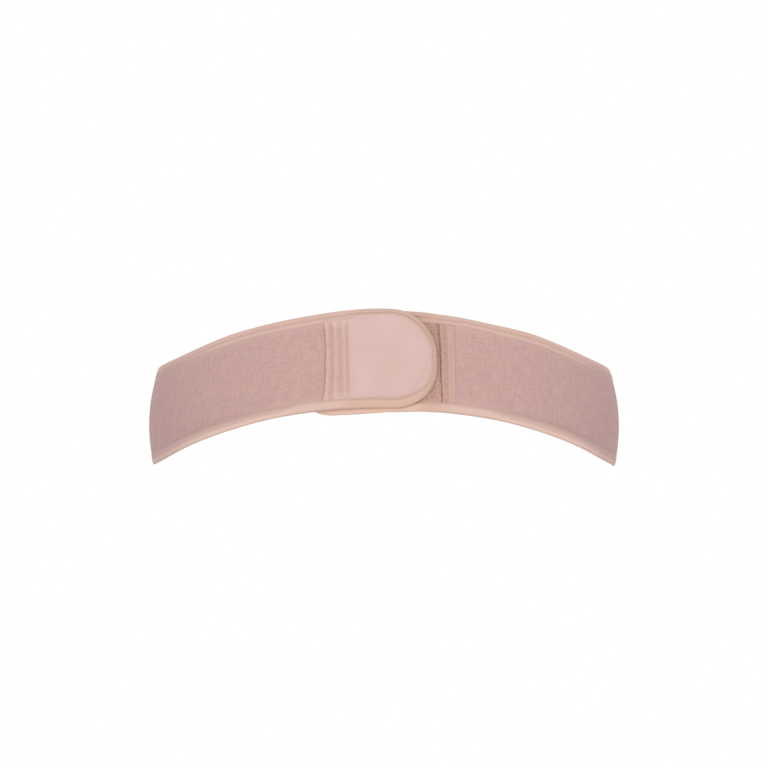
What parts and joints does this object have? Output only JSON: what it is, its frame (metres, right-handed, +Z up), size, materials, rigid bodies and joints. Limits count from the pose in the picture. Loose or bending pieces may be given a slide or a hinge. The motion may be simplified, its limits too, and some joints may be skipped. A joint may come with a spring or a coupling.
{
  "type": "compression belt",
  "caption": "Wide elastic chest compression belt, fastened in a loop, with bound edges and a rounded front tab that closes on a loop-faced landing panel.",
  "frame": {"origin": "middle of the hollow that takes the chest, level with the strap's middle line at the front centre", "axes": "+X to the wearer's left along the belt's width, -Y to the front where the tab closes, +Z up along the wearer's body"},
  "size_m": [0.372, 0.2536, 0.1229],
  "materials": {
    "elastic": "matt woven elastic, dusty pink",
    "tab_cloth": "smooth brushed cloth, pale pink",
    "loop_pile": "fuzzy loop pile, brownish pink",
    "hook_tape": "hook tape, pinkish beige",
    "join_tape": "stitched woven tape, pinkish tan",
    "binding_tape": "soft folded knit tape, beige"
  },
  "bodies": {
    "root": {"elastic_band": "elastic", "closure_tab": "tab_cloth", "landing_panel": "loop_pile", "hook_patch": "hook_tape", "tab_join_strip": "join_tape", "landing_join_strip": "join_tape", "band_top_binding": "binding_tape", "band_bottom_binding": "binding_tape", "tab_binding": "binding_tape", "landing_binding": "binding_tape"}
  },
  "joints": []
}
